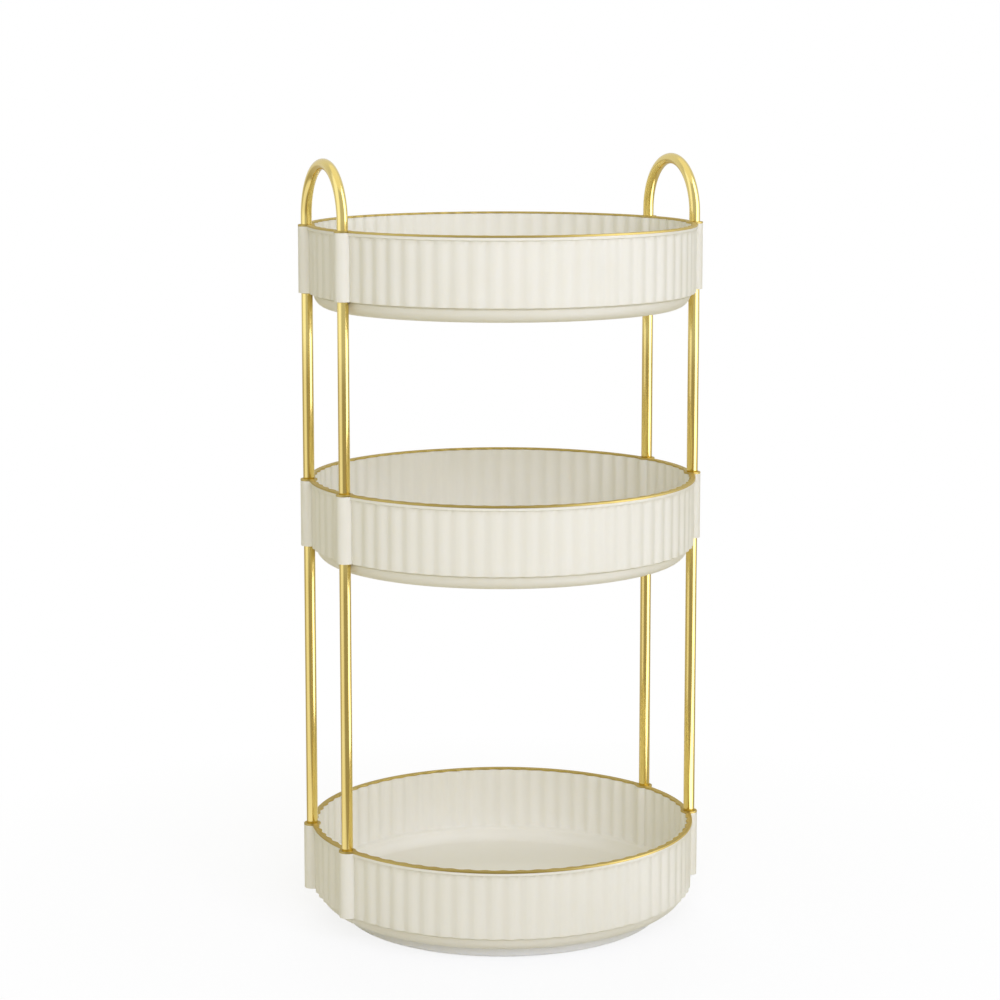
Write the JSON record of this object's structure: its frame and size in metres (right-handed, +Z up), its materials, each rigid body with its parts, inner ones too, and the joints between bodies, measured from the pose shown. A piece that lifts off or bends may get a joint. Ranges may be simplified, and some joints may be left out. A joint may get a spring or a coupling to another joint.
{
  "type": "rotating vanity organizer",
  "caption": "Round fluted trays in tiers on slim gold tubes, with an arched handle at each side of the top, all turning together on a low round turntable base.",
  "frame": {"origin": "on the floor, on the axis that the tower turns about", "axes": "+Z up; X runs through the middles of the two pairs of tubes and of the two handles; front is -Y and right is +X"},
  "size_m": [0.227, 0.226, 0.4482],
  "materials": {
    "tray_plastic": "satin",
    "base_plastic": "matte",
    "glide_plastic": "smooth",
    "gold_metal": "polished gold plating",
    "gold_trim": "satin gold anodising",
    "steel": "zinc plated",
    "rubber": "matte"
  },
  "bodies": {
    "base": {"base_plate": "base_plastic", "foot_pads": "rubber", "glide_ring": "glide_plastic"},
    "tower": {"turntable_plate": "base_plastic", "pivot_washer": "steel", "pivot_screw": "steel", "bottom_tray": "tray_plastic", "bottom_rim_trim": "gold_trim", "middle_tray": "tray_plastic", "middle_rim_trim": "gold_trim", "top_tray": "tray_plastic", "top_rim_trim": "gold_trim", "lower_tube_front_left": "gold_metal", "lower_tube_back_left": "gold_metal", "lower_tube_front_right": "gold_metal", "lower_tube_back_right": "gold_metal", "upper_tube_front_left": "gold_metal", "upper_tube_back_left": "gold_metal", "upper_tube_front_right": "gold_metal", "upper_tube_back_right": "gold_metal", "tie_rod_front_left": "steel", "tie_rod_back_left": "steel", "tie_rod_front_right": "steel", "tie_rod_back_right": "steel", "tie_rod_nuts": "steel", "left_handle": "gold_metal", "right_handle": "gold_metal"}
  },
  "joints": [
    {"name": "tower_spin", "type": "hinge", "parent": "base", "child": "tower", "pos_m": [0, 0, 0.0084], "axis": [0, 0, 1], "continuous": true}
  ]
}
